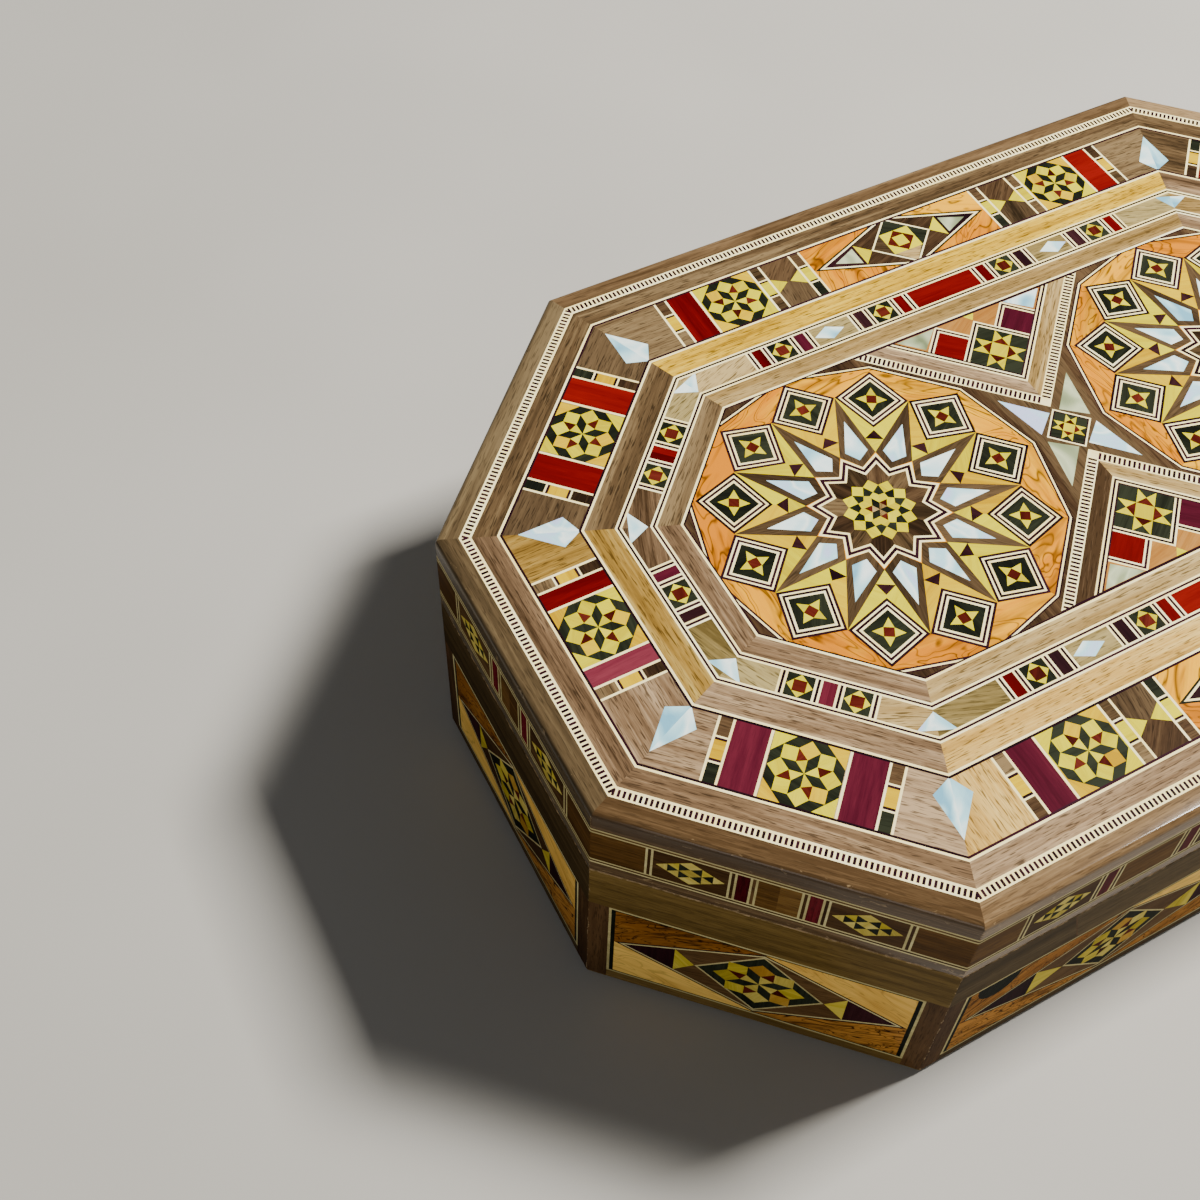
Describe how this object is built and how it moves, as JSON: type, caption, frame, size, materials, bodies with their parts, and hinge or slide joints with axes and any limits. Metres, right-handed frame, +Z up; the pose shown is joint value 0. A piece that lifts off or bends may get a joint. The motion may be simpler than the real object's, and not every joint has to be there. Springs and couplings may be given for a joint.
{
  "type": "mosaic box",
  "caption": "Eight-sided wooden box with a lift-off lid, inlaid on top and sides with wood and mother-of-pearl mosaic.",
  "frame": {"origin": "under the middle of the box, on its underside", "axes": "+X along the box, +Y to its back, +Z up; the side nearest the picture's camera faces -Y and -X"},
  "size_m": [0.3, 0.19, 0.08],
  "materials": {
    "body_marquetry": "wood marquetry: olive wood, walnut, black and yellow tiles, cream lines, satin varnish",
    "body_walnut": "dark brown walnut, satin varnish, worn pale along the rim and corners",
    "dentil_band": "cream wood with dark teeth, gloss varnish",
    "inner_mosaic": "walnut band with small square tiles, red and dark blocks, pearl lozenges and cream lines",
    "inside_wood": "plain walnut, lightly sealed",
    "lid_band_marquetry": "walnut band with small yellow and black tile pictures, dark red blocks and cream lines",
    "lid_walnut": "brown walnut, satin varnish, rounded top edge",
    "light_walnut_band": "golden walnut veneer, gloss varnish",
    "side_marquetry": "walnut and cream bands around tiles of black, yellow, red and peach wood and mother-of-pearl",
    "star_marquetry": "olive wood field with a twelve-pointed star of yellow, black, red and walnut wood and mother-of-pearl",
    "top_mosaic": "wood and mother-of-pearl mosaic: rosette tiles, red and maroon blocks, walnut, yellow and cream wood, gloss varnish",
    "walnut_band": "mid-brown walnut veneer, gloss varnish"
  },
  "bodies": {
    "root": {"base_board": "inside_wood", "body_panel_back": "body_marquetry", "body_panel_back_left": "body_marquetry", "body_panel_back_right": "body_marquetry", "body_panel_end_left": "body_marquetry", "body_panel_end_right": "body_marquetry", "body_panel_front": "body_marquetry", "body_panel_front_left": "body_marquetry", "body_panel_front_right": "body_marquetry", "body_wall_back": "body_walnut", "body_wall_back_left": "body_walnut", "body_wall_back_right": "body_walnut", "body_wall_end_left": "body_walnut", "body_wall_end_right": "body_walnut", "body_wall_front": "body_walnut", "body_wall_front_left": "body_walnut", "body_wall_front_right": "body_walnut", "dentil_band": "dentil_band", "inner_mosaic_band": "inner_mosaic", "inner_walnut_band": "walnut_band", "lid_band_back": "lid_band_marquetry", "lid_band_back_left": "lid_band_marquetry", "lid_band_back_right": "lid_band_marquetry", "lid_band_end_left": "lid_band_marquetry", "lid_band_end_right": "lid_band_marquetry", "lid_band_front": "lid_band_marquetry", "lid_band_front_left": "lid_band_marquetry", "lid_band_front_right": "lid_band_marquetry", "lid_board": "inside_wood", "lid_wall_back": "lid_walnut", "lid_wall_back_left": "lid_walnut", "lid_wall_back_right": "lid_walnut", "lid_wall_end_left": "lid_walnut", "lid_wall_end_right": "lid_walnut", "lid_wall_front": "lid_walnut", "lid_wall_front_left": "lid_walnut", "lid_wall_front_right": "lid_walnut", "middle_panel": "side_marquetry", "middle_walnut_band": "light_walnut_band", "outer_walnut_band": "walnut_band", "side_panel_back": "side_marquetry", "side_panel_front": "side_marquetry", "star_panel_left": "star_marquetry", "star_panel_right": "star_marquetry", "top_mosaic_back": "top_mosaic", "top_mosaic_back_left": "top_mosaic", "top_mosaic_back_right": "top_mosaic", "top_mosaic_end_left": "top_mosaic", "top_mosaic_end_right": "top_mosaic", "top_mosaic_front": "top_mosaic", "top_mosaic_front_left": "top_mosaic", "top_mosaic_front_right": "top_mosaic"}
  },
  "joints": []
}
